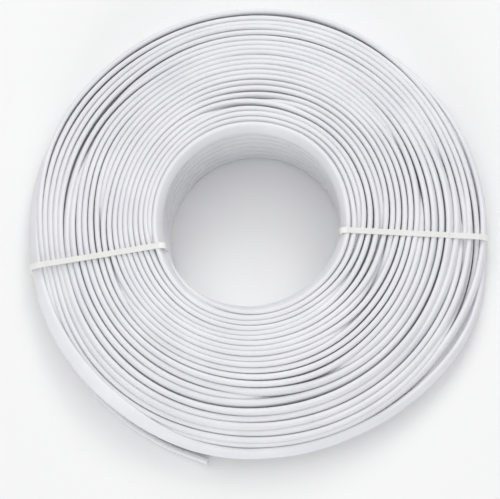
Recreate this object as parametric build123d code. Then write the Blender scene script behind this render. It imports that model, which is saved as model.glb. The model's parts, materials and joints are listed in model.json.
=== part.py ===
from build123d import *
import math
import os

# Ring coil of flat cable, with no reel, held by two cable ties. Millimetres.
# The origin is on the axis of the hole, on the surface that the ring lies on; +Z is up.

# Cable: a flat jacket that stands on its narrow edge in every turn
CABLE_WIDTH = 6.7
CABLE_THICKNESS = 2.4
CABLE_EDGE_CHAMFER = 0.7
CORE_COUNT = 6
CORE_PITCH = 1.03
CORE_RADIUS = 0.475
CORE_SIDES = 12
CONDUCTOR_RADIUS = 0.2
CONDUCTOR_SIDES = 6
CORE_COLOURS = ("white", "black", "red", "green", "yellow", "blue")
CUT_END_LENGTH = 12.0

# Ring: rows of turns stand in layers round the hole and drop away towards the rim
ROWS_AT_HOLE = 8
ROW_PITCH = 6.75
RING_HEIGHT = ROWS_AT_HOLE * ROW_PITCH
HOLE_RADIUS = 40.0
INNER_LAYERS = 12
INNER_PITCH = 2.6
SPLIT_RADIUS = HOLE_RADIUS + INNER_LAYERS * INNER_PITCH
RIM_RADIUS = 106.9
RIM_HEIGHT = 16.0
RIM_ROUND = 3.5
RIM_CENTRE = (0.8, 2.2)
CREST_START = 42.0
EDGE_CREST_HEIGHT = 20.0
TURN_GROOVE = 1.1
INNER_RIDGES = 9
OUTER_RIDGES = 7
EDGE_CHAMFER = 1.0

# Cable ties: one moulding each, a toothed strap and a head that holds a sprung pawl
STRAP_WIDTH = 2.5
STRAP_THICKNESS = 1.1
STRAP_BITE = 0.45
STRAP_SINK_IN_BORE = 0.5
STRAP_STANDS_OFF_RIM = 0.6
STRAP_FLOOR_GAP = 0.3
CORNER_RADIUS = 3.2
HEAD_WIDTH = 4.6
HEAD_BACK = 3.0
HEAD_FRONT = 1.75
HEAD_HEIGHT = 3.4
HEAD_FRONT_HEIGHT = 2.9
HEAD_FLOOR_GAP = 0.3
HEAD_REACH = 38.0
HEAD_CLEARANCE = 0.3
LEAD_IN_RADIUS = 1.2
SLOT_HALF = 0.6
SLOT_WIDTH = 2.7
PAWL_WIDTH = 2.4
HINGE = (-1.55, 2.62)
HINGE_RADIUS = 0.42
TOOTH_PITCH = 0.9
TOOTH_DEPTH = 0.3
TOOTH_GAP = 0.05
TOOTH_PLAY = 0.25
LOWEST_TOOTH = 0.35
TEETH_IN_SLOT = 3
TEETH_BEFORE_HEAD = 18
PAWL_TEETH = 2
LEFT_TIE = ((-37.9, -12.6), 181.8)
RIGHT_TIE = ((39.4, -6.6), 3.2)

# Free end: it leaves the rim at floor level and stands off it by its last few millimetres
TAIL_START_ANGLE = 200.0
TAIL_MIDDLE_ANGLE = 226.0
TAIL_END_ANGLE = 251.5
TAIL_START_RADIUS = RIM_RADIUS - CABLE_THICKNESS / 2
TAIL_MIDDLE_RADIUS = RIM_RADIUS - 0.2
TAIL_END_RADIUS = RIM_RADIUS + 1.35

# Starting end: its cut face shows in the lowest row of the hole wall
START_ANGLE = 262.0
START_RADIUS = 41.3
START_POCKET = 8.0


def crest_height(radius):
    """Height of the tops of the turns at a radius from the hole axis."""
    fall = (RING_HEIGHT - EDGE_CREST_HEIGHT) / (RIM_RADIUS - RIM_ROUND - CREST_START)
    return RING_HEIGHT - fall * max(0.0, radius - CREST_START)


def ridge_points(start, pitch, count):
    """Crest and groove of each ridge of turns, from the inside out, in (radius, height)."""
    points = []
    for ridge in range(count):
        crest = start + (ridge + 0.5) * pitch
        groove = start + (ridge + 1) * pitch
        points.append((crest, crest_height(crest)))
        points.append((groove, crest_height(groove) - TURN_GROOVE))
    return points


def revolved(points, centre=(0.0, 0.0)):
    """Solid of revolution about an upright axis through centre."""
    outline = make_face(Plane.XZ * Polyline(*points, close=True))
    return Pos(*centre, 0) * revolve(outline, Axis.Z)


def inner_winding_body():
    """Neat layers beside the hole, with a straight inside wall."""
    top_of_wall = RING_HEIGHT - CABLE_THICKNESS / 2
    pitch = (SPLIT_RADIUS - HOLE_RADIUS) / INNER_RIDGES
    points = [(HOLE_RADIUS, 0), (HOLE_RADIUS, top_of_wall)]
    points += ridge_points(HOLE_RADIUS, pitch, INNER_RIDGES)
    points.append((SPLIT_RADIUS, 0))
    return revolved(points)


def outer_winding_body():
    """Looser layers out to the rim, a little off the axis of the hole."""
    first_ridge = SPLIT_RADIUS + INNER_PITCH
    last_ridge = RIM_RADIUS - RIM_ROUND
    pitch = (last_ridge - first_ridge) / OUTER_RIDGES
    hidden = SPLIT_RADIUS - 2 * INNER_PITCH
    points = [(hidden, 0), (hidden, crest_height(hidden) - TURN_GROOVE)]
    points.append((first_ridge, crest_height(first_ridge) - TURN_GROOVE))
    points += ridge_points(first_ridge, pitch, OUTER_RIDGES)
    points.append((RIM_RADIUS - RIM_ROUND / 3, RIM_HEIGHT + RIM_ROUND / 2))
    points.append((RIM_RADIUS, RIM_HEIGHT))
    points.append((RIM_RADIUS, EDGE_CHAMFER))
    points.append((RIM_RADIUS - EDGE_CHAMFER, 0))
    core = Pos(0, 0, RING_HEIGHT / 2) * Cylinder(SPLIT_RADIUS, 2 * RING_HEIGHT)
    return revolved(points, RIM_CENTRE) - core


def cable_section(plane):
    """Flat section with eased edges, on its narrow edge, on a plane across the cable."""
    flat = Rectangle(CABLE_THICKNESS, CABLE_WIDTH)
    return plane * chamfer(flat.vertices(), CABLE_EDGE_CHAMFER)


def core_section():
    """Outline of one core with its insulation."""
    return RegularPolygon(CORE_RADIUS, CORE_SIDES)


def conductor_section():
    """Six-sided outline of a bundle of seven strands."""
    return RegularPolygon(CONDUCTOR_RADIUS, CONDUCTOR_SIDES)


def rim_point(radius, angle):
    """Point half a cable width above the floor, from the centre of the rim."""
    turn = math.radians(angle)
    x = RIM_CENTRE[0] + radius * math.cos(turn)
    y = RIM_CENTRE[1] + radius * math.sin(turn)
    return (x, y, CABLE_WIDTH / 2)


def tail_path():
    """Centre line of the free end where it leaves the rim."""
    return ThreePointArc(
        rim_point(TAIL_START_RADIUS, TAIL_START_ANGLE),
        rim_point(TAIL_MIDDLE_RADIUS, TAIL_MIDDLE_ANGLE),
        rim_point(TAIL_END_RADIUS, TAIL_END_ANGLE),
    )


def across(point, direction):
    """Plane square to the cable, with its local y upright."""
    return Plane(origin=point, x_dir=Vector(0, 0, 1).cross(direction), z_dir=direction)


def tail_body(path):
    """Curved stretch of the free end."""
    return sweep(cable_section(across(path @ 0, path % 0)), path=path)


def tail_room(path):
    """Cut that the tail leaves in the rim, open outwards and to the floor."""
    width = 2 * CABLE_THICKNESS
    height = CABLE_WIDTH + EDGE_CHAMFER
    offset = Pos((CABLE_THICKNESS - width) / 2, (CABLE_WIDTH - height) / 2)
    return sweep(across(path @ 0, path % 0) * offset * Rectangle(width, height), path=path)


def core_places(plane):
    """Centre of each core across the flat of the cable, lowest first."""
    first = -(CORE_COUNT - 1) / 2 * CORE_PITCH
    return [plane * Pos(0, first + index * CORE_PITCH) for index in range(CORE_COUNT)]


def cut_end_jacket(plane):
    """Jacket of a cut end, with a passage for each core."""
    jacket = extrude(cable_section(plane), amount=CUT_END_LENGTH)
    for place in core_places(plane):
        jacket -= extrude(place * core_section(), amount=CUT_END_LENGTH)
    return jacket


def core_insulation(place):
    """Coloured sleeve of one core, flush with the cut."""
    return extrude(place * (core_section() - conductor_section()), amount=CUT_END_LENGTH)


def conductor(place):
    """Copper of one core, flush with the cut."""
    return extrude(place * conductor_section(), amount=CUT_END_LENGTH)


def start_plane():
    """Back of the starting end, in the lowest row beside the hole."""
    turn = math.radians(START_ANGLE)
    radial = Vector(math.cos(turn), math.sin(turn), 0)
    along = Vector(math.sin(turn), -math.cos(turn), 0)
    middle = radial * START_RADIUS + Vector(0, 0, CABLE_WIDTH / 2)
    return across(middle - along * (CUT_END_LENGTH / 2), along)


def start_pocket(plane):
    """Room for the starting end and for the gap in front of its cut face, open to the hole."""
    length = CUT_END_LENGTH + START_POCKET
    towards_hole = plane * Pos(-CABLE_THICKNESS, 0) * Rectangle(2 * CABLE_THICKNESS, CABLE_WIDTH)
    return extrude(cable_section(plane), amount=length) + extrude(towards_hole, amount=length)


class Tie:
    """One cable tie in its own upright plane: u runs outwards from the hole wall, v is up."""

    def __init__(self, start, angle):
        turn = math.radians(angle)
        self.start = Vector(*start, 0)
        self.outward = Vector(math.cos(turn), math.sin(turn), 0)
        self.plane = Plane(origin=self.start, x_dir=self.outward, z_dir=self.outward.cross(Vector(0, 0, 1)))
        self.head = self.plane * Pos(HEAD_REACH, HEAD_FLOOR_GAP)
        self.corners = self.strap_corners()
        self.path = self.centre_line()

    def reach_of_rim(self):
        """Distance along u at which the tie meets the rim."""
        offset = self.start - Vector(*RIM_CENTRE, 0)
        half = offset.dot(self.outward)
        return -half + math.sqrt(half * half - offset.dot(offset) + RIM_RADIUS * RIM_RADIUS)

    def strap_corners(self):
        """Corners of the strap's centre line, from the back of the head round to the slot."""
        half = STRAP_THICKNESS / 2
        inside = STRAP_SINK_IN_BORE + half
        outside = self.reach_of_rim() + STRAP_STANDS_OFF_RIM - half
        floor = STRAP_FLOOR_GAP + half
        over = half - STRAP_BITE
        back = HEAD_FLOOR_GAP + HEAD_HEIGHT - half
        front = HEAD_FLOOR_GAP + HEAD_FRONT_HEIGHT + 2 * TOOTH_GAP + half
        return [
            (HEAD_REACH - HEAD_BACK + TOOTH_DEPTH, back),
            (inside, floor),
            (inside, RING_HEIGHT + over),
            (inside + STRAP_WIDTH, RING_HEIGHT + over),
            (outside - RIM_ROUND, crest_height(RIM_RADIUS - RIM_ROUND) + over),
            (outside, RIM_HEIGHT),
            (outside, floor),
            (HEAD_REACH + 2 * LEAD_IN_RADIUS, front),
            (HEAD_REACH, front),
            (HEAD_REACH, HEAD_FLOOR_GAP),
        ]

    def centre_line(self):
        """Strap round the ring and down through the slot, with rounded corners."""
        tight = CORNER_RADIUS / 2
        radii = [tight, tight, tight, CORNER_RADIUS, CORNER_RADIUS, tight, LEAD_IN_RADIUS / 2, LEAD_IN_RADIUS]
        places = [self.plane * Pos(*corner) for corner in self.corners]
        return FilletPolyline(*[place.position for place in places], radius=radii)

    def slab(self, place, face, width):
        """Solid of a face drawn in the tie's plane, centred across the strap."""
        return extrude(place * face, amount=width / 2, both=True)

    def strap_blank(self):
        """Plain strap of the full thickness."""
        path = self.path
        section_plane = Plane(origin=path @ 0, x_dir=self.plane.z_dir, z_dir=path % 0)
        return sweep(section_plane * Rectangle(STRAP_WIDTH, STRAP_THICKNESS), path=path)

    def saw(self, place, count):
        """Cutter for a row of ratchet teeth in a strap that runs down past place."""
        face = -STRAP_THICKNESS / 2
        points = [(face - TOOTH_DEPTH, LOWEST_TOOTH)]
        for index in range(count):
            ledge = LOWEST_TOOTH + index * TOOTH_PITCH
            points.append((face, ledge))
            points.append((face + TOOTH_DEPTH, ledge))
        points.append((face, LOWEST_TOOTH + count * TOOTH_PITCH))
        points.append((face - TOOTH_DEPTH, LOWEST_TOOTH + count * TOOTH_PITCH))
        return self.slab(place, make_face(Polyline(*points, close=True)), 2 * STRAP_WIDTH)

    def strap(self):
        """Strap with its teeth, on the side that faces the coil."""
        rim_end, head_end = self.corners[6], self.corners[7]
        slope = math.degrees(math.atan2(rim_end[1] - head_end[1], rim_end[0] - head_end[0]))
        before_head = self.plane * Pos(*head_end) * Rot(0, 0, slope - 90)
        teeth = self.saw(self.head, TEETH_IN_SLOT) + self.saw(before_head, TEETH_BEFORE_HEAD)
        return self.strap_blank() - teeth

    def head_body(self):
        """Head: a box with the slot, a lead-in for the strap and a chamber for the pawl."""
        outline = Polyline(
            (-HEAD_BACK, 0), (HEAD_FRONT, 0), (HEAD_FRONT, HEAD_FRONT_HEIGHT - 0.7),
            (LEAD_IN_RADIUS, HEAD_FRONT_HEIGHT), (0, HEAD_FRONT_HEIGHT), (-0.5, HEAD_HEIGHT),
            (-HEAD_BACK, HEAD_HEIGHT), close=True,
        )
        slot = Polyline(
            (-SLOT_HALF, -1), (SLOT_HALF, -1), (SLOT_HALF, 2.4), (0.76, 2.76),
            (LEAD_IN_RADIUS, HEAD_FRONT_HEIGHT), (LEAD_IN_RADIUS, 2 * HEAD_HEIGHT),
            (-SLOT_HALF, 2 * HEAD_HEIGHT), close=True,
        )
        x, z = HINGE
        seat = HINGE_RADIUS + TOOTH_GAP
        chamber = Polyline((-2.5, -1), (0, -1), (0, z), (x - seat, z), close=True)
        head = self.slab(self.head, make_face(outline), HEAD_WIDTH)
        head -= self.slab(self.head, make_face(slot), SLOT_WIDTH)
        head -= self.slab(self.head, make_face(chamber), SLOT_WIDTH)
        return head - self.slab(self.head, Pos(x, z) * Circle(seat), SLOT_WIDTH)

    def pawl_body(self):
        """Pawl: hinged at the top of the chamber, with its teeth in the notches of the strap."""
        x, z = HINGE
        clear = -STRAP_THICKNESS / 2 - TOOTH_GAP
        tip = clear + TOOTH_DEPTH * (1 - TOOTH_PLAY / TOOTH_PITCH)
        points = [(x - HINGE_RADIUS, z), (x - 0.28, 1.2), (-1.25, LOWEST_TOOTH + TOOTH_PLAY)]
        for index in range(PAWL_TEETH):
            ledge = LOWEST_TOOTH + index * TOOTH_PITCH
            points.append((clear, ledge + TOOTH_PLAY))
            points.append((tip, ledge + TOOTH_PLAY))
            points.append((clear, ledge + TOOTH_PITCH))
        points.append((x + HINGE_RADIUS, z))
        knuckle = self.slab(self.head, Pos(x, z) * Circle(HINGE_RADIUS), PAWL_WIDTH)
        return self.slab(self.head, make_face(Polyline(*points, close=True)), PAWL_WIDTH) + knuckle

    def room(self):
        """Space that the tie takes in the ring: strap, head and the ways that they leave open."""
        corners = self.corners
        inset = STRAP_THICKNESS / 4
        at_hole, at_rim = corners[1], corners[6]
        under = [
            (at_hole[0], -1), (at_rim[0], -1),
            (at_rim[0], at_rim[1] + inset), (at_rim[0] - inset, at_rim[1] + inset), corners[7],
            corners[0], (at_hole[0] + inset, at_hole[1] + inset), (at_hole[0], at_hole[1] + inset),
        ]
        bore_side = Pos(at_hole[0] - 2, RING_HEIGHT / 2) * Rectangle(4, 2 * RING_HEIGHT)
        reach = HEAD_BACK + HEAD_FRONT + 2 * HEAD_CLEARANCE
        height = HEAD_HEIGHT + STRAP_THICKNESS + HEAD_FLOOR_GAP
        pocket = Pos((HEAD_FRONT - HEAD_BACK) / 2, 0) * Rectangle(reach, 2 * height)
        space = self.strap_blank()
        space += self.slab(self.plane, make_face(Polyline(*under, close=True)), STRAP_WIDTH)
        space += self.slab(self.plane, bore_side, STRAP_WIDTH)
        return space + self.slab(self.head, pocket, HEAD_WIDTH + 2 * HEAD_CLEARANCE)


def tie_parts(place):
    """Moulded tie, its pawl, and the room to leave for them in the ring."""
    tie = Tie(*place)
    return tie.strap() + tie.head_body(), tie.pawl_body(), tie.room()


def write(name, shape):
    """Write one sub-part and print what it holds."""
    export_step(shape, f"parts/{name}.step")
    print(f"{name:28s} {len(shape.solids()):3d} solids {shape.volume:12.2f} mm3")


def write_cut_end(name, plane):
    """Jacket, cores and conductors of one cut end of the cable."""
    write(f"{name}_jacket", cut_end_jacket(plane))
    places = core_places(plane)
    for colour, place in zip(CORE_COLOURS, places):
        write(f"{name}_core_{colour}", core_insulation(place))
    write(f"{name}_conductors", Compound(children=[conductor(place) for place in places]))


def build():
    """Make every sub-part and write it."""
    os.makedirs("parts", exist_ok=True)
    left_tie, left_pawl, left_room = tie_parts(LEFT_TIE)
    right_tie, right_pawl, right_room = tie_parts(RIGHT_TIE)
    path = tail_path()
    tail_end = across(path @ 1, path % 1)
    start_end = start_plane()
    inner = inner_winding_body() - left_room - right_room - start_pocket(start_end)
    outer = outer_winding_body() - left_room - right_room - tail_room(path)
    write("inner_winding", inner)
    write("outer_winding", outer)
    write("free_end_tail", tail_body(path))
    write_cut_end("free_end", tail_end)
    write_cut_end("start_end", start_end)
    write("left_tie", left_tie)
    write("left_tie_pawl", left_pawl)
    write("right_tie", right_tie)
    write("right_tie_pawl", right_pawl)


build()
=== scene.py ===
# %% [markdown]
# # A ring coil of flat cable, dressed for a studio picture
#
# The real coil is one long flat cable, wound on its narrow edge round an open hole and held by two nylon
# ties. The CAD frame gives it as two plain solids, a free end and the ties. A texture of rings on those
# solids would look flat from the side, so this script winds the real cable into their place, turn by
# turn, and gives every part its surface.

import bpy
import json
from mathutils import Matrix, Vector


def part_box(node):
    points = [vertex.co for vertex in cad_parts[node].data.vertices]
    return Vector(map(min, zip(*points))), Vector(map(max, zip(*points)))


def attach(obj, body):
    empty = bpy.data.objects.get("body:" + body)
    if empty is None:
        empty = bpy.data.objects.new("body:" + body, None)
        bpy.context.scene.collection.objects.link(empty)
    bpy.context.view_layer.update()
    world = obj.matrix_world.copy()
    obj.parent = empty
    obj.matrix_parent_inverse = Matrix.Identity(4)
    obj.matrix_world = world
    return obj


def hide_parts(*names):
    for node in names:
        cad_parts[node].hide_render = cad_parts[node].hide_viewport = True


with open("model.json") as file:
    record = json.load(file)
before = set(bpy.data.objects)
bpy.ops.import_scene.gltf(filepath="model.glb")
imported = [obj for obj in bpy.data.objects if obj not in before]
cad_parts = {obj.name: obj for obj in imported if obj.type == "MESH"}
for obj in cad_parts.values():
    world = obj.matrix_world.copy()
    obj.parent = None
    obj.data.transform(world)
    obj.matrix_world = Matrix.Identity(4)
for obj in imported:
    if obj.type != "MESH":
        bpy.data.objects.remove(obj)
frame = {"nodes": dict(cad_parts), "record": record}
print(len(frame["nodes"]), "CAD nodes")

# %% [markdown]
# The rest of the script needs Blender itself, numpy for the many points of the winding, and json.

# %% Tools
import json
import math

import bmesh
import bpy
import numpy as np
from mathutils import Matrix, Vector

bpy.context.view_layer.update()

# %% [markdown]
# ## Driving sizes
#
# All lengths are in metres. The ring's own sizes are read from the frame, so the winding follows the CAD
# model. The cable is a flat one that stands on its narrow edge in every turn.

# %% Driving sizes
MM = 0.001
CABLE_WIDTH = 6.7 * MM
CABLE_THICKNESS = 2.4 * MM

HOLE_RADIUS = frame["record"]["mounts"][0]["dims"]["r_mm"] * MM
RING_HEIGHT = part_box("inner_winding")[1][2]
RIM_CENTRE = np.mean(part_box("outer_winding"), axis=0)[:2]

print(f"hole radius {HOLE_RADIUS:.4f}, ring height {RING_HEIGHT:.4f}, rim's centre {RIM_CENTRE.round(5)}")

# %% [markdown]
# ## Layers and rows
#
# The cable goes up one layer and down the next. Each layer is a stack of level turns round the hole, and
# the stacks get lower towards the rim. The layers beside the hole are packed tight. The first turns flop
# outwards over the hole's edge, and the outer ones tip inwards at the top, like shingles.

# %% Layers and rows
LAYERS = 23
NEAT_LAYERS = 12
ROW_STEP = 6.55 * MM
FEWEST_ROWS = 3
# The tops of the layers drop in a straight line from this radius to the rim, by this much per unit of radius
CREST_START = HOLE_RADIUS + 2.0 * MM
CREST_FALL = 0.5537
# Radii of the uppermost turns: the first three, the steps of the neat layers, and those of the loose ones
FIRST_TOPS = HOLE_RADIUS + np.array([2.4, 5.3, 8.0]) * MM
NEAT_PITCH = 2.56 * MM
LOOSE_PITCHES = (2.7, 2.8, 2.8, 2.9, 3.1, 3.4, 3.3, 3.1, 2.7, 2.6, 2.5)
# Radii of the lowest turns
FOOT_START = HOLE_RADIUS + CABLE_THICKNESS / 2
FOOT_PITCH = 2.46 * MM
LOOSE_FOOT_PITCH = 3.15 * MM
# Outward leans of the uppermost turns, in degrees
FIRST_LEANS = (32.0, 23.0, 11.0)
NEXT_LEAN = 4.0
NEAT_LEAN = -3.0
LOOSE_LEANS = (-7, -9, -11, -12, -14, -15, -15, -13, -10, -8, -8)


def layer_tops():
    """Radius of the middle of the uppermost turn of each layer."""
    tops = list(FIRST_TOPS)
    while len(tops) < NEAT_LAYERS:
        tops.append(tops[-1] + NEAT_PITCH)
    for pitch in LOOSE_PITCHES:
        tops.append(tops[-1] + pitch * MM)
    return np.array(tops)


def layer_feet():
    """Radius of the middle of the lowest turn of each layer."""
    neat = FOOT_START + FOOT_PITCH * np.arange(NEAT_LAYERS)
    loose = neat[-1] + LOOSE_FOOT_PITCH * (1 + np.arange(LAYERS - NEAT_LAYERS))
    return np.concatenate([neat, loose])


def layer_leans():
    """Outward lean of the uppermost turn of each layer, in degrees."""
    neat = np.linspace(NEXT_LEAN, NEAT_LEAN, NEAT_LAYERS - len(FIRST_LEANS))
    return np.concatenate([FIRST_LEANS, neat, LOOSE_LEANS])


TOPS = layer_tops()
FEET = layer_feet()
LEANS = np.radians(layer_leans())
HEIGHTS = RING_HEIGHT - CREST_FALL * np.maximum(0, TOPS - CREST_START)
ROWS = np.maximum(FEWEST_ROWS, np.round(HEIGHTS / ROW_STEP)).astype(int)
OUTWARD = np.arange(LAYERS) / (LAYERS - 1)
print("rows in each layer:", ROWS.tolist(), "places for a turn:", int(ROWS.sum()))

# %% [markdown]
# ## Slow waves
#
# No hand-laid winding is a perfect spiral. Each layer gets its own slow waves round the ring, from one
# seeded source, so the result is the same on every run. Neat layers hardly wander, and the loose ones
# wander more.

# %% Waves
# Waves in one turn, the power by which the short ones are lower, and the sum that makes them 1 high
WAVES = np.array([1, 2, 3, 5, 8])
WAVE_FALL = 0.6
WAVE_TOTAL = 1.6
WAVE_KINDS = 3
RADIUS_WAVE, LEAN_WAVE, HEIGHT_WAVE = range(WAVE_KINDS)
SEED = 11
# The layers get looser from this one on, and are fully loose so many layers further out
LOOSENING_START = NEAT_LAYERS - 3
LOOSENING_LAYERS = 8
random = np.random.default_rng(SEED)
WAVE_SIZE = random.normal(size=(WAVE_KINDS, LAYERS, len(WAVES))) / WAVES ** WAVE_FALL
WAVE_SHIFT = random.uniform(0, 2 * math.pi, size=(WAVE_KINDS, LAYERS, len(WAVES)))
LOOSENESS = np.clip((np.arange(LAYERS) - LOOSENING_START) / LOOSENING_LAYERS, 0, 1)


def wave(kind, layer, azimuth):
    """Slow wave of one kind for each layer, about 1 high."""
    angle = azimuth[:, None] * WAVES + WAVE_SHIFT[kind][layer]
    return (np.sin(angle) * WAVE_SIZE[kind][layer]).sum(axis=1) / WAVE_TOTAL


print("waves for", LAYERS, "layers, looseness of the outermost:", LOOSENESS[-1])

# %% [markdown]
# ## Swells
#
# Some swells and dents of a real coil go through many layers at once, where it was bumped or where a turn
# beneath stands out. They are given as smooth humps that fade over the layers beside them. A few
# more move one layer near the rim out of its place, at the top only.

# %% Swells
# Each swell: azimuth and half width in degrees, first and last layer that it moves fully, outward move in mm
SWELLS = (
    (45, 22, 2, 9, 0.9),
    (305, 26, 1, 9, -0.5),
    (122, 13, 9, 19, -0.8),
    (151, 14, 13, 19, 0.6),
    (235, 30, 17, 18, 0.4),
    (20, 22, 5, 14, 0.5),
    (190, 18, 20, 22, -2.5),
    (268, 45, 20, 22, -1.15),
    (26, 20, 20, 22, -1.4),
)
SWELL_FADE = 2.5
# Layers near the rim that leave their place: azimuth, half width, layer, outward move in mm, at the top only
LAST_SWELLS = (
    (78, 21, 22, 1.9),
    (118, 30, 22, 2.2),
    (152, 15, 22, 1.6),
    (90, 26, 21, 0.8),
    (135, 28, 21, 1.2),
    (120, 40, 20, 0.4),
)


def bump(azimuth, centre, half_width):
    """Smooth hump, 1 high, at one azimuth in degrees."""
    away = (np.degrees(azimuth) - centre + 180) % 360 - 180
    return np.exp(-((away / half_width) ** 2))


def swell(layer, azimuth, is_top):
    """Outward move of a turn that whole groups of layers share."""
    moved = np.zeros(len(azimuth))
    for centre, width, first, last, move in SWELLS:
        outside = np.maximum(np.maximum(first - layer, layer - last), 0)
        moved += move * MM * bump(azimuth, centre, width) * np.exp(-((outside / SWELL_FADE) ** 2))
    for centre, width, which, move in LAST_SWELLS:
        moved += move * MM * bump(azimuth, centre, width) * (layer == which) * is_top
    return moved


print(len(SWELLS), "shared swells and", len(LAST_SWELLS), "near the rim")

# %% [markdown]
# ## Gaps that close
#
# Where the cable steps from one layer to the next it leaves a short gap in the lane that it has left. On a
# real coil the turns beside the gap lean into it. So the uppermost turns move a little towards each gap,
# the nearest ones most.

# %% Closing of the gaps
# Azimuth in degrees of the step at the top of each pair of layers
STEP_AZIMUTHS = (208, 338, 95, 345, 325, 190, 18, 285, 150, 8, 348)
CLOSING = 0.8 * MM
CLOSING_FALL = 0.6
CLOSING_AWAY = 8.0
CLOSING_WIDTH = 13.0


def closing(layer, azimuth):
    """Move of an uppermost turn towards the short gaps that the steps leave near it."""
    moved = np.zeros(len(azimuth))
    for pair, middle in enumerate(STEP_AZIMUTHS):
        for lane, gap_at in ((2 * pair, middle + CLOSING_AWAY), (2 * pair + 1, middle - CLOSING_AWAY)):
            away = layer - lane
            share = np.sign(away) * CLOSING_FALL ** np.maximum(np.abs(away) - 1, 0)
            moved -= CLOSING * share * bump(azimuth, gap_at, CLOSING_WIDTH)
    return moved


print(len(STEP_AZIMUTHS), "pairs of layers step at their own azimuths")

# %% [markdown]
# ## Where a turn lies
#
# One function gives the radius, height and lean of any row of any layer at any azimuth. Everything else
# is built on it. Away from the ties, the middle layers swell upwards, and at the lower left the outer
# ones sag, where the loose last turn lies over them. Only the uppermost turn of a layer leans freely.

# %% Place of a turn
STACK_BEND = 1.5
LOWER_LEAN = math.radians(-6)
LOWER_SHARE = 0.3
# Sizes of the slow waves: in every layer, and what is added in the loose layers and away from the ties
RADIUS_WANDER = 0.03 * MM
LOOSE_RADIUS_WANDER = 0.15 * MM
LEAN_WANDER = math.radians(4)
LOOSE_LEAN_WANDER = math.radians(3)
HEIGHT_WANDER = 0.1 * MM
LOOSE_HEIGHT_WANDER = 0.2 * MM
UNTIED_HEIGHT_WANDER = 0.5 * MM
# The sag at the lower left: azimuth and half width in degrees, depth, and how fast it grows outwards
SAG_AT = 220.0
SAG_WIDTH = 30.0
SAG = 4.2 * MM
SAG_RISE = 5
UPWARD_SWELL = 6.0 * MM
# Both ties lie within a few degrees of this line through the middle of the hole
TIE_AXIS = math.radians(4)


def place(layer, row, azimuth):
    """Radius, height and lean of a row of turns, as arrays."""
    up = row / (ROWS[layer] - 1)
    is_top = row == ROWS[layer] - 1
    loose = LOOSENESS[layer]
    untied = np.sin(azimuth - TIE_AXIS) ** 2
    radius = FEET[layer] + (TOPS[layer] - FEET[layer]) * up ** STACK_BEND
    radius = radius + (RADIUS_WANDER + LOOSE_RADIUS_WANDER * loose) * wave(RADIUS_WAVE, layer, azimuth)
    radius = radius + swell(layer, azimuth, is_top) + closing(layer, azimuth) * is_top
    lean = LEANS[layer] + (LEAN_WANDER + LOOSE_LEAN_WANDER * loose) * wave(LEAN_WAVE, layer, azimuth)
    lean = np.where(is_top, lean, LOWER_SHARE * np.minimum(lean, LOWER_LEAN))
    half = ((CABLE_WIDTH - CABLE_THICKNESS) * np.cos(lean) + CABLE_THICKNESS) / 2
    top = HEIGHTS[layer] + UPWARD_SWELL * np.sin(math.pi * OUTWARD[layer]) * untied
    top = top - SAG * OUTWARD[layer] ** SAG_RISE * bump(azimuth, SAG_AT, SAG_WIDTH)
    wander = HEIGHT_WANDER + LOOSE_HEIGHT_WANDER * loose + UNTIED_HEIGHT_WANDER * untied
    top = top + wander * wave(HEIGHT_WAVE, layer, azimuth) - half
    return radius, half + (top - half) * up, lean


first_top = place(0, ROWS[0] - 1, np.zeros(1))
print(f"uppermost turn of the first layer: radius {first_top[0][0]:.4f}, height {first_top[1][0]:.4f}")

# %% [markdown]
# ## Crossings
#
# Between level turns the cable has to get somewhere else. In a ramp it climbs or drops by one row, and in
# a step it moves out to the next layer. The ramps of a layer come just before or just after the step at its
# top, and overlap it a little, so the stepping turn leaves only a narrow gap. Many of the steps are on the
# right-hand side. At the foot the cable steps out before it has gone all the way round, so more than half
# of the places in the lowest row stay empty, which shows only from below.

# %% Ramps and steps
STEP_LENGTH = math.radians(26)
RAMP_LENGTH = math.radians(20)
FIRST_RAMP_LENGTH = math.radians(50)
# Distance of a layer's ramps from the middle of the step at its top
RAMP_OFFSET = STEP_LENGTH / 8
# Radius and azimuth of the back of the CAD cut end from which the winding starts
START_BACK = (41.73 * MM, math.radians(270.3))


def next_angle(theta, azimuth):
    """First wound angle after theta that is at this azimuth."""
    return theta + (azimuth - theta) % (2 * math.pi)


def crossings():
    """Every ramp and step in order: (start, length, layer, row, next layer, next row)."""
    events = []
    theta = START_BACK[1]
    for layer in range(LAYERS):
        pair = min(layer // 2, len(STEP_AZIMUTHS) - 1)
        middle = math.radians(STEP_AZIMUTHS[pair])
        climbing = layer % 2 == 0
        rows = list(range(ROWS[layer]))
        if not climbing:
            rows.reverse()
        ramp = FIRST_RAMP_LENGTH if layer == 0 else RAMP_LENGTH
        ramp_at = middle + RAMP_OFFSET if climbing else middle - RAMP_OFFSET - ramp
        for row, next_row in zip(rows, rows[1:]):
            theta = next_angle(theta, ramp_at)
            events.append((theta, ramp, layer, row, layer, next_row))
            theta += ramp
        if layer == LAYERS - 1:
            break
        if climbing:
            step_at = middle - STEP_LENGTH / 2
            next_row = ROWS[layer + 1] - 1
        else:
            ahead = math.radians(STEP_AZIMUTHS[min(pair + 1, len(STEP_AZIMUTHS) - 1)])
            step_at = (next_angle(theta, ahead) + theta) / 2
            next_row = 0
        theta = next_angle(theta, step_at)
        events.append((theta, STEP_LENGTH, layer, rows[-1], layer + 1, next_row))
        theta += STEP_LENGTH
    return events


EVENTS = crossings()
EVENT_STARTS = np.array([event[0] for event in EVENTS])
EVENT_LENGTHS = np.array([event[1] for event in EVENTS])
EVENT_PLACES = np.array([event[2:] for event in EVENTS])
print(len(EVENTS), "ramps and steps")

# %% [markdown]
# ## The cable's path
#
# The cable's place at any wound angle follows from the last crossing before it: between crossings it lies
# in one row, and during one it eases from row to row. The layers' circles aren't quite about one middle,
# because the ring was squeezed when it was tied. The start blends into the cut end in the hole's wall.

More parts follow.
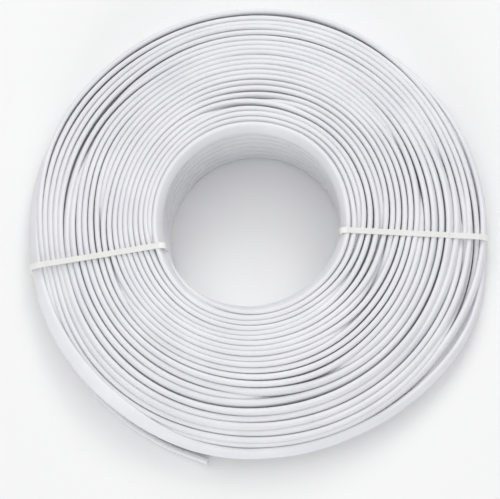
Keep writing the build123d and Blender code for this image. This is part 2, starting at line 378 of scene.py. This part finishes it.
# %% Path of the cable
START_BLEND = math.radians(14)
RIM_CENTRE_RISE = 1.6
MIDDLE_OFFSET = np.array([0.21, 0.735]) * MM


def smooth(x):
    """Ease in and out between 0 and 1."""
    x = np.clip(x, 0, 1)
    return x * x * (3 - 2 * x)


def centre_of(rank):
    """Middle of a layer's circle: the middle layers lie further off the hole's axis than the rim."""
    middle = np.sin(np.pi * np.clip(rank, 0, 1))[:, None]
    return smooth(rank * RIM_CENTRE_RISE)[:, None] * RIM_CENTRE + middle * MIDDLE_OFFSET


def lie(theta):
    """Radius, height and lean of the cable at each wound angle."""
    index = np.clip(np.searchsorted(EVENT_STARTS, theta, side="right") - 1, 0, len(EVENTS) - 1)
    layer, row, next_layer, next_row = EVENT_PLACES[index].T
    part = smooth((theta - EVENT_STARTS[index]) / EVENT_LENGTHS[index])
    part = np.where(theta < EVENT_STARTS[0], 0, part)
    before = place(layer, row, theta)
    after = place(next_layer, next_row, theta)
    radius, height, lean = (a + (b - a) * part for a, b in zip(before, after))
    start = 1 - smooth((theta - START_BACK[1]) / START_BLEND)
    radius = radius + (START_BACK[0] - radius) * start
    lean = lean * (1 - start)
    height = height + (CABLE_WIDTH / 2 - height) * start
    rank = (layer + (next_layer - layer) * part) / (LAYERS - 1)
    centre = centre_of(rank)
    x = centre[:, 0] + radius * np.cos(theta)
    y = centre[:, 1] + radius * np.sin(theta)
    return np.stack([x, y, height], axis=1), lean, radius

# %% [markdown]
# ## Over the ties
#
# Each tie runs under the ring and slopes up on both sides to the head that hangs there. The low turns rise
# a little to pass over it, and the rows above them are squeezed less and less, up to the topmost one.

# %% Over the ties
# Height that the lowest turns need over a tie, by the distance outwards from its pawl's hinge, in mm
TIE_PROFILE = ((-36, 1.6), (-4, 3.6), (-1, 3.9), (3, 4.6), (4, 4.6), (30, 1.8))
# Inner end of the tie, by the same distance
TIE_START = -42.0 * MM
# The turns rise fully within this distance on each side of the tie's middle
TIE_HALF = 3.0 * MM
# Beside that the rise eases out, over this length and this many times the rise
TIE_EASE = 3.0 * MM
TIE_EASE_GROWTH = 3.7


def over_ties(line):
    """Line of the cable, raised where a tie runs under it."""
    away = np.linalg.norm(line[:, :2], axis=1)
    rows_above = RING_HEIGHT - CREST_FALL * np.maximum(0, away - CREST_START) - CABLE_WIDTH
    share = np.clip(1 - (line[:, 2] - CABLE_WIDTH / 2) / rows_above, 0, 1)
    profile = np.array(TIE_PROFILE) * MM
    lift = np.zeros(len(line))
    for joint in frame["record"]["behaviour"]["joints"]:
        hinge = np.array(joint["pos_m"][:2])
        across = np.array(joint["axis"][:2])
        outward = np.array([-across[1], across[0]])
        outward *= np.sign(outward @ hinge)
        beside = np.abs((line[:, :2] - hinge) @ across)
        along = (line[:, :2] - hinge) @ outward
        needed = np.interp(along, *profile.T)
        ease = TIE_EASE + TIE_EASE_GROWTH * needed
        lift += needed * smooth((TIE_HALF + ease - beside) / ease) * (along > TIE_START)
    return line + (lift * share)[:, None] * np.array([0, 0, 1])


print(f"the lowest turns rise by up to {max(rise for _, rise in TIE_PROFILE)} mm")

# %% [markdown]
# ## From a route to a flat cable
#
# A route is one smooth NURBS line, which Blender turns into many points. The cable's section is a flat one
# with round edges. A curve object's own bevel would let it roll freely along the way, so the section is
# carried along the points by hand, with its wide side held upright or leaning as the route says.

# %% Route and section
SECTION_STEPS = 6


def read_route(name, points, resolution):
    """Points along a smooth NURBS line with these control points."""
    curve = bpy.data.curves.new(name, "CURVE")
    curve.dimensions = "3D"
    spline = curve.splines.new("NURBS")
    spline.points.add(len(points) - 1)
    spline.points.foreach_set("co", np.c_[points, np.ones(len(points))].ravel())
    spline.order_u = 3
    spline.use_endpoint_u = True
    spline.resolution_u = resolution
    holder = bpy.data.objects.new(name, curve)
    mesh = bpy.data.meshes.new_from_object(holder)
    line = np.empty(len(mesh.vertices) * 3)
    mesh.vertices.foreach_get("co", line)
    bpy.data.objects.remove(holder)
    bpy.data.curves.remove(curve)
    bpy.data.meshes.remove(mesh)
    return line.reshape(-1, 3)


def section():
    """Outline of the flat cable, as (across its thickness, along its width)."""
    angles = np.linspace(-90, 90, SECTION_STEPS)
    half = CABLE_THICKNESS / 2
    reach = (CABLE_WIDTH - CABLE_THICKNESS) / 2
    top = [(half * math.sin(math.radians(a)), reach + half * math.cos(math.radians(a))) for a in angles]
    return np.array(top + [(-x, -y) for x, y in top])


print(len(section()), "points in the section")

# %% [markdown]
# ## The skin of the cable
#
# At each point of the line the section is turned square to the line and leaned. The rings are joined by
# quads, and both ends are closed. A UV map runs along and round the cable, so that the fine lines of its
# surface follow it.

# %% Sweep
def sweep(name, line, lean):
    """Flat cable along a line, leaning outwards by lean at each point."""
    along = np.gradient(line, axis=0, edge_order=2)
    along /= np.linalg.norm(along, axis=1)[:, None]
    outward = np.stack([along[:, 1], -along[:, 0], np.zeros(len(line))], axis=1)
    outward /= np.linalg.norm(outward, axis=1)[:, None]
    upright = np.cross(outward, along)
    wide = np.cos(lean)[:, None] * upright + np.sin(lean)[:, None] * outward
    thin = np.cross(along, wide)
    outline = section()
    rings = line[:, None] + outline[None, :, :1] * thin[:, None] + outline[None, :, 1:] * wide[:, None]
    return tube(name, line, rings)


def tube(name, line, rings):
    """Mesh of the rings joined into a closed skin, with a UV map along and round it."""
    count, sides = rings.shape[:2]
    first = np.arange(count - 1)[:, None] * sides
    side = np.arange(sides)[None, :]
    after = (side + 1) % sides
    quads = np.stack([first + side, first + after, first + sides + after, first + sides + side], axis=2)
    faces = quads.reshape(-1, 4).tolist()
    faces.append(list(range(sides))[::-1])
    faces.append(list(range((count - 1) * sides, count * sides)))
    mesh = bpy.data.meshes.new(name)
    mesh.from_pydata(rings.reshape(-1, 3).tolist(), [], faces)
    travelled = np.r_[0, np.cumsum(np.linalg.norm(np.diff(line, axis=0), axis=1))]
    around = np.arange(sides + 1) / sides
    uv = np.zeros((len(mesh.loops), 2))
    corner_u = np.stack([travelled[:-1], travelled[:-1], travelled[1:], travelled[1:]], axis=1)
    corner_v = np.stack([around[:-1], around[1:], around[1:], around[:-1]], axis=1)
    body = (count - 1) * sides * 4
    uv[:body, 0] = np.repeat(corner_u, sides, axis=0).ravel()
    uv[:body, 1] = np.tile(corner_v.ravel(), count - 1)
    mesh.uv_layers.new(name="cable").data.foreach_set("uv", uv.ravel())
    mesh.shade_smooth()
    for end in mesh.polygons[-2:]:
        end.use_smooth = False
    cable = bpy.data.objects.new(name, mesh)
    bpy.context.scene.collection.objects.link(cable)
    print(f"{name}: {travelled[-1]:.2f} m long, {len(mesh.polygons)} faces")
    return cable, travelled[-1]

# %% [markdown]
# ## The winding
#
# The winding is made in two stretches of the one cable, the neat layers and the loose ones, because each
# piece has a limit on its size. A NURBS line runs a little inside its control points, so each turn's
# points are set out by the factor that brings it back. The first and last steps are half as long as the
# others, so that the line leaves its end points along the circle and the stretches meet without a kink.
# The loose layers end under the left tie, which hides the joint with the last turns.

# %% Two stretches of winding
WINDING_RESOLUTION = 4


def wind(name, start, end, points_per_turn):
    """One stretch of the winding between two wound angles."""
    spans = int(round((end - start) / (2 * math.pi) * points_per_turn))
    steps = np.r_[0, np.arange(spans) + 0.5, spans]
    theta = start + (end - start) * steps / spans
    points, lean, radius = lie(theta)
    # In the middle of a span the line is an eighth, three quarters and an eighth of three points
    inside = 6 / 8 + 2 / 8 * math.cos((end - start) / spans)
    push = radius * (1 / inside - 1)
    push[[0, -1]] = 0
    points[:, 0] += push * np.cos(theta)
    points[:, 1] += push * np.sin(theta)
    line = over_ties(read_route(name, points, WINDING_RESOLUTION))
    passed = np.linspace(0, spans, len(line))
    lean = np.interp(passed, steps, lean)
    cable, length = sweep(name, line, lean)
    return cable, line, length


# The neat stretch ends in the middle of the step out to the first loose layer
NEAT_END = next(event[0] + event[1] / 2 for event in EVENTS if event[4] == NEAT_LAYERS)
LEFT_TIE_AZIMUTH = math.radians(189.3)
LOOSE_END = next_angle(EVENTS[-1][0] + EVENTS[-1][1], LEFT_TIE_AZIMUTH)
inner_turns, inner_line, inner_length = wind("inner_turns", START_BACK[1], NEAT_END, points_per_turn=24)
outer_turns, outer_line, outer_length = wind("outer_turns", NEAT_END, LOOSE_END, points_per_turn=30)

# %% [markdown]
# ## The loose last turns
#
# The last turns hang at the rim. The first moves out at the right, passes under the turn beside it at the
# far side, comes out on its face at the left and twists on to its edge again at the lower left. From there
# it is the outermost turn, springs out at the lower right with a kink, drops to the floor and goes once
# round under itself, to the cut end that the CAD model holds. Its points are listed one by one: azimuth,
# radius from the rim's centre, height and lean. The smooth line runs inside points that are far apart, so
# at the far side these turns sink into those of the outermost layer.

# %% Points of the last turns
LAST_TURNS = (
    (205, 101.5, 13.7, -12),
    (222, 102.3, 12.9, -10),
    (243, 102.1, 14.6, -8),
    (255, 101.9, 15.8, -8),
    (268, 101.8, 16.5, -9),
    (284, 101.9, 16.7, -10),
    (300, 102.1, 16.9, -11),
    (316, 102.4, 16.9, -12),
    (328, 103.0, 16.5, -13),
    (338, 104.1, 15.5, -14),
    (348, 105.3, 14.3, -14),
    (358, 106.1, 13.3, -13),
    (370, 106.5, 12.5, -12),
    (385, 106.5, 12.0, -10),
    (400, 106.1, 11.2, -8),
    (416, 105.6, 10.5, -8),
    (440, 105.4, 10.2, -8),
    (460, 105.4, 10.2, -8),
    (480, 105.4, 10.2, -8),
    (500, 105.5, 10.4, -12),
    (512, 105.6, 11.0, -22),
    (522, 105.4, 12.2, -36),
    (532, 104.8, 13.6, -44),
    (542, 104.3, 14.4, -41),
    (551, 104.1, 14.8, -41),
    (560, 104.2, 16.0, -54),
    (569, 104.0, 17.4, -66),
    (578, 103.7, 18.4, -72),
    (587, 103.5, 18.6, -74),
    (595, 103.6, 18.2, -68),
    (602, 104.1, 17.0, -56),
    (609, 104.7, 15.7, -45),
    (617, 105.2, 14.6, -36),
    (628, 105.4, 14.0, -30),
    (644, 105.4, 13.8, -28),
    (660, 105.5, 13.4, -27),
    (672, 106.2, 12.8, -25),
    (682, 107.4, 12.0, -23),
    (690, 108.4, 11.2, -20),
    (697, 108.6, 9.8, -15),
    (704, 107.8, 7.8, -10),
    (713, 106.7, 5.4, -5),
    (726, 105.9, 3.7, -1),
    (740, 105.7, 3.35, 0),
    (765, 105.7, 3.35, 0),
    (790, 105.7, 3.35, 0),
    (815, 105.7, 3.35, 0),
    (840, 105.7, 3.35, 0),
    (865, 105.7, 3.35, 0),
    (890, 105.7, 3.35, 0),
    (912, 105.6, 3.35, 0),
    (930, 105.8, 3.35, 0),
    (945, 106.6, 3.35, 0),
    (957, 107.3, 3.35, 0),
    (966, 107.9, 3.35, 0),
)
print(len(LAST_TURNS), "points, over", round((LAST_TURNS[-1][0] - LAST_TURNS[0][0]) / 360, 2), "turns")

# %% [markdown]
# The line starts along the winding's own direction, with one lead-in point, and ends along the CAD cut
# end, whose place is read from the mesh of its conductors.

# %% Last turns
LEAD_IN = 8 * MM
LEAD_OUT = 4 * MM
# A very small turn, in radians, that gives the winding's direction at its end
LITTLE_TURN = 0.001
LAST_RESOLUTION = 14


def last_turns_line(end_point, end_direction):
    """Route and leans of the last turns, from the end of the winding to the cut end."""
    lead, lead_lean, _ = lie(np.array([LOOSE_END, LOOSE_END + LITTLE_TURN]))
    forward = (lead[1] - lead[0]) / np.linalg.norm(lead[1] - lead[0])
    lead[1] = lead[0] + forward * LEAD_IN
    keys = np.array(LAST_TURNS)
    angle = np.radians(keys[:, 0])
    radius = keys[:, 1] * MM
    points = np.stack([
        RIM_CENTRE[0] + radius * np.cos(angle),
        RIM_CENTRE[1] + radius * np.sin(angle),
        keys[:, 2] * MM,
    ], axis=1)
    approach = end_point - np.array(end_direction) * LEAD_OUT
    points = np.vstack([lead, points, approach, end_point])
    leans = np.r_[lead_lean, np.radians(keys[:, 3]), 0, 0]
    line = over_ties(read_route("last_turns_route", points, LAST_RESOLUTION))
    gone = np.r_[0, np.cumsum(np.linalg.norm(np.diff(points, axis=0), axis=1))]
    reached = np.r_[0, np.cumsum(np.linalg.norm(np.diff(line, axis=0), axis=1))]
    reached *= gone[-1] / reached[-1]
    return line, np.interp(reached, gone, leans)


def cut_end_back():
    """Middle of the back of the CAD cut end, and the direction in which it points."""
    conductors = frame["nodes"]["free_end_conductors"]
    corners = np.array([vertex.co[:] for vertex in conductors.data.vertices])
    flat = corners[:, :2] - corners[:, :2].mean(axis=0)
    direction = np.linalg.svd(flat, full_matrices=False)[2][0]
    direction = direction * np.sign(direction[0])
    reach = flat @ direction
    back = corners[:, :2].mean(axis=0) + direction * reach.min()
    return np.array([*back, CABLE_WIDTH / 2]), np.array([*direction, 0])


END_POINT, END_DIRECTION = cut_end_back()
last_line, last_leans = last_turns_line(END_POINT, END_DIRECTION)
last_turns, last_length = sweep("last_turns", last_line, last_leans)

# %% [markdown]
# Each stretch rides on the coil's body and stands for the solid that it replaces, which is hidden.

# %% Cords
def declare(cable, node_name):
    """One stretch of cable in the place of its CAD solid."""
    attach(cable, "coil")
    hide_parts(node_name)


declare(inner_turns, "inner_winding")
declare(outer_turns, "outer_winding")
declare(last_turns, "free_end_tail")
print(f"cable in all: {inner_length + outer_length + last_length:.1f} m")

# %% [markdown]
# ## Surfaces
#
# Every finish here is a smooth plastic or metal, made from the same few pieces: a slow change between two
# colours, a roughness that follows it, and a fine relief. Painted images would show their edges on a long
# cable, so all of them are made by noise nodes.

# %% Helpers for materials
def new_material(name):
    """Material with its shader, ready for nodes."""
    material = bpy.data.materials.new(name)
    material.use_nodes = True
    tree = material.node_tree
    return material, tree, tree.nodes["Principled BSDF"]


def node(tree, kind, **values):
    """New node with some of its inputs set."""
    made = tree.nodes.new(kind)
    for key, value in values.items():
        made.inputs[key].default_value = value
    return made


def tone(tree, shader, vector, low, high, scale):
    """Slow change between two colours."""
    noise = node(tree, "ShaderNodeTexNoise", Scale=scale, Detail=3.0)
    ramp = tree.nodes.new("ShaderNodeValToRGB")
    ramp.color_ramp.elements[0].position = 0.3
    ramp.color_ramp.elements[1].position = 0.7
    ramp.color_ramp.elements[0].color = (*low, 1)
    ramp.color_ramp.elements[1].color = (*high, 1)
    tree.links.new(vector, noise.inputs["Vector"])
    tree.links.new(noise.outputs["Fac"], ramp.inputs["Fac"])
    tree.links.new(ramp.outputs["Color"], shader.inputs["Base Color"])
    return noise


def varied_roughness(tree, shader, noise, low, high):
    """Roughness that follows the same slow noise."""
    spread = node(tree, "ShaderNodeMapRange")
    spread.inputs["To Min"].default_value = low
    spread.inputs["To Max"].default_value = high
    tree.links.new(noise.outputs["Fac"], spread.inputs["Value"])
    tree.links.new(spread.outputs["Result"], shader.inputs["Roughness"])


def fine_bump(tree, shader, vector, scale, stretch, strength, distance):
    """Fine relief, drawn out along one direction."""
    mapping = tree.nodes.new("ShaderNodeMapping")
    mapping.inputs["Scale"].default_value = stretch
    noise = node(tree, "ShaderNodeTexNoise", Scale=scale, Detail=2.0)
    bump_node = node(tree, "ShaderNodeBump", Strength=strength, Distance=distance)
    tree.links.new(vector, mapping.inputs["Vector"])
    tree.links.new(mapping.outputs["Vector"], noise.inputs["Vector"])
    tree.links.new(noise.outputs["Fac"], bump_node.inputs["Height"])
    tree.links.new(bump_node.outputs["Normal"], shader.inputs["Normal"])

# %% [markdown]
# ## The jacket
#
# The jacket is white PVC with a faint cool tint, a satin sheen, and fine lines along it from the extruder.
# On the wound cable they follow its own UV map, and on the short CAD ends the object's coordinates. A
# little light passes under its surface.

# %% Jacket
def jacket_material(name, use_uv):
    """White PVC jacket."""
    material, tree, shader = new_material(name)
    coordinates = tree.nodes.new("ShaderNodeTexCoord")
    on_object = coordinates.outputs["Object"]
    noise = tone(tree, shader, on_object, low=(0.80, 0.80, 0.835), high=(0.86, 0.86, 0.885), scale=45.0)
    varied_roughness(tree, shader, noise, low=0.34, high=0.5)
    source = coordinates.outputs["UV"] if use_uv else on_object
    stretch = (6.0, 60.0, 1.0) if use_uv else (200.0, 200.0, 900.0)
    fine_bump(tree, shader, source, scale=1.0, stretch=stretch, strength=0.12, distance=0.0002)
    shader.inputs["Specular IOR Level"].default_value = 0.45
    shader.inputs["Subsurface Weight"].default_value = 0.12
    shader.inputs["Subsurface Radius"].default_value = (0.0016, 0.0015, 0.0014)
    shader.inputs["Subsurface Scale"].default_value = 1.0
    return material

# %% [markdown]
# ## The ties' nylon
#
# The ties are natural nylon, warmer than the jacket and a little clearer, with a finely mottled skin.

# %% Nylon
def nylon_material():
    """Natural nylon of the ties."""
    material, tree, shader = new_material("natural_nylon")
    coordinates = tree.nodes.new("ShaderNodeTexCoord")
    on_object = coordinates.outputs["Object"]
    noise = tone(tree, shader, on_object, low=(0.86, 0.86, 0.825), high=(0.91, 0.91, 0.88), scale=120.0)
    varied_roughness(tree, shader, noise, low=0.28, high=0.42)
    even = (1.0, 1.0, 1.0)
    fine_bump(tree, shader, on_object, scale=900.0, stretch=even, strength=0.15, distance=0.0001)
    shader.inputs["Subsurface Weight"].default_value = 0.25
    shader.inputs["Subsurface Radius"].default_value = (0.0012, 0.0012, 0.001)
    shader.inputs["Subsurface Scale"].default_value = 1.0
    return material

# %% [markdown]
# ## Cores and copper
#
# The cores show only at the two cut ends, with the cut copper in them. Their colours are those of a
# six-core telephone cable.

# %% Cores and copper
def core_material(name, colour):
    """Coloured insulation of one core."""
    material, tree, shader = new_material(name)
    coordinates = tree.nodes.new("ShaderNodeTexCoord")
    darker = tuple(0.85 * value for value in colour)
    noise = tone(tree, shader, coordinates.outputs["Object"], low=darker, high=colour, scale=300.0)
    varied_roughness(tree, shader, noise, low=0.35, high=0.5)
    return material


def copper_material():
    """Cut copper, with fine scratches from the cutter."""
    material, tree, shader = new_material("bare_copper")
    coordinates = tree.nodes.new("ShaderNodeTexCoord")
    on_object = coordinates.outputs["Object"]
    noise = tone(tree, shader, on_object, low=(0.70, 0.34, 0.2), high=(0.86, 0.5, 0.33), scale=800.0)
    varied_roughness(tree, shader, noise, low=0.2, high=0.45)
    scratches = (1.0, 1.0, 0.2)
    fine_bump(tree, shader, on_object, scale=4000.0, stretch=scratches, strength=0.3, distance=0.00005)
    shader.inputs["Metallic"].default_value = 1.0
    return material

# %% [markdown]
# ## Painting the pieces
# The three stretches of cable, the jackets, cores and copper of both cut ends, and the ties and their pawls
# each get one material. The three stretches share the jacket.

# %% Painting
def paint(thing, material):
    """Give a piece or CAD node one material."""
    if thing.material_slots:
        for slot in thing.material_slots:
            slot.material = material
    else:
        thing.data.materials.append(material)


CORE_COLOURS = {
    "white": (0.85, 0.85, 0.83),
    "black": (0.02, 0.02, 0.02),
    "red": (0.6, 0.03, 0.02),
    "green": (0.02, 0.3, 0.08),
    "yellow": (0.85, 0.65, 0.04),
    "blue": (0.03, 0.1, 0.5),
}
cable_jacket = jacket_material("cable_jacket", use_uv=True)
cut_jacket = jacket_material("cut_end_jacket", use_uv=False)
nylon = nylon_material()
copper = copper_material()
for cable in (inner_turns, outer_turns, last_turns):
    paint(cable, cable_jacket)
for end in ("free_end", "start_end"):
    paint(frame["nodes"][f"{end}_jacket"], cut_jacket)
    paint(frame["nodes"][f"{end}_conductors"], copper)
for colour, value in CORE_COLOURS.items():
    insulation = core_material(f"core_{colour}", value)
    for end in ("free_end", "start_end"):
        paint(frame["nodes"][f"{end}_core_{colour}"], insulation)
for side in ("left", "right"):
    paint(frame["nodes"][f"{side}_tie"], nylon)
    paint(frame["nodes"][f"{side}_tie_pawl"], nylon)
print(len(bpy.data.materials), "materials")

# %% [markdown]
# ## Floor and sky
#
# The coil lies on a plain pale floor, made from one large square, under an even and nearly white sky. The
# sky alone would leave no shadow, so it stays below full strength.

# %% Floor and sky
FLOOR_SIZE = 3.0


def make_floor():
    """Plain pale floor."""
    mesh = bpy.data.meshes.new("floor")
    shape = bmesh.new()
    bmesh.ops.create_grid(shape, x_segments=1, y_segments=1, size=FLOOR_SIZE / 2)
    shape.to_mesh(mesh)
    shape.free()
    floor = bpy.data.objects.new("floor", mesh)
    bpy.context.scene.collection.objects.link(floor)
    material, tree, shader = new_material("floor_white")
    shader.inputs["Base Color"].default_value = (0.92, 0.92, 0.92, 1)
    shader.inputs["Roughness"].default_value = 0.9
    shader.inputs["Specular IOR Level"].default_value = 0.1
    floor.data.materials.append(material)


def make_sky(strength):
    """Even white light from all round."""
    world = bpy.data.worlds.new("sky")
    world.use_nodes = True
    background = world.node_tree.nodes["Background"]
    background.inputs["Color"].default_value = (0.985, 0.99, 1.0, 1)
    background.inputs["Strength"].default_value = strength
    bpy.context.scene.world = world


make_floor()
make_sky(strength=0.47)
print("floor", FLOOR_SIZE, "m across")

# %% [markdown]
# ## Soft light
#
# A wide soft light hangs overhead, a smaller one stands beyond the coil and to the right, and a low one
# stands in front. Together they leave thin shadows between the turns and a soft one on the floor.

# %% Lights
def make_light(name, position, size, power):
    """Large soft light that points at the coil."""
    lamp = bpy.data.lights.new(name, "AREA")
    lamp.shape = "DISK"
    lamp.size = size
    lamp.energy = power
    light = bpy.data.objects.new(name, lamp)
    light.location = position
    light.rotation_euler = (-Vector(position)).to_track_quat("-Z", "Y").to_euler()
    bpy.context.scene.collection.objects.link(light)


make_light("softbox", position=(0.0, 0.45, 1.7), size=2.0, power=14.0)
make_light("key", position=(0.3, 1.25, 1.25), size=0.8, power=6.0)
make_light("fill", position=(-0.25, -1.6, 0.6), size=1.0, power=8.0)
print(len(bpy.data.lights), "lights")

# %% [markdown]
# ## Camera
#
# The camera looks down steeply from in front, from a long way off through a long lens, so that the ring
# stays nearly round.

# %% Camera
CAMERA_AZIMUTH = math.radians(12.77)
CAMERA_ELEVATION = math.radians(78.05)
CAMERA_DISTANCE = 1.3
CAMERA_TARGET = Vector((-1.58 * MM, -10.03 * MM, 30 * MM))
CAMERA_LENS = 203.6


def make_camera():
    """Camera whose upward direction leans to the frame's +Y."""
    sin_a, cos_a = math.sin(CAMERA_AZIMUTH), math.cos(CAMERA_AZIMUTH)
    sin_e, cos_e = math.sin(CAMERA_ELEVATION), math.cos(CAMERA_ELEVATION)
    back = Vector((sin_a * cos_e, -cos_a * cos_e, sin_e))
    right = Vector((0, 1, 0)).cross(back).normalized()
    up = back.cross(right)
    data = bpy.data.cameras.new("camera")
    data.lens = CAMERA_LENS
    camera = bpy.data.objects.new("camera", data)
    turn = Matrix((right, up, back)).transposed().to_4x4()
    camera.matrix_world = Matrix.Translation(CAMERA_TARGET + back * CAMERA_DISTANCE) @ turn
    bpy.context.scene.collection.objects.link(camera)
    bpy.context.scene.camera = camera


make_camera()
bpy.context.scene.view_settings.view_transform = "Standard"
print("camera at", [round(v, 3) for v in bpy.context.scene.camera.matrix_world.translation])
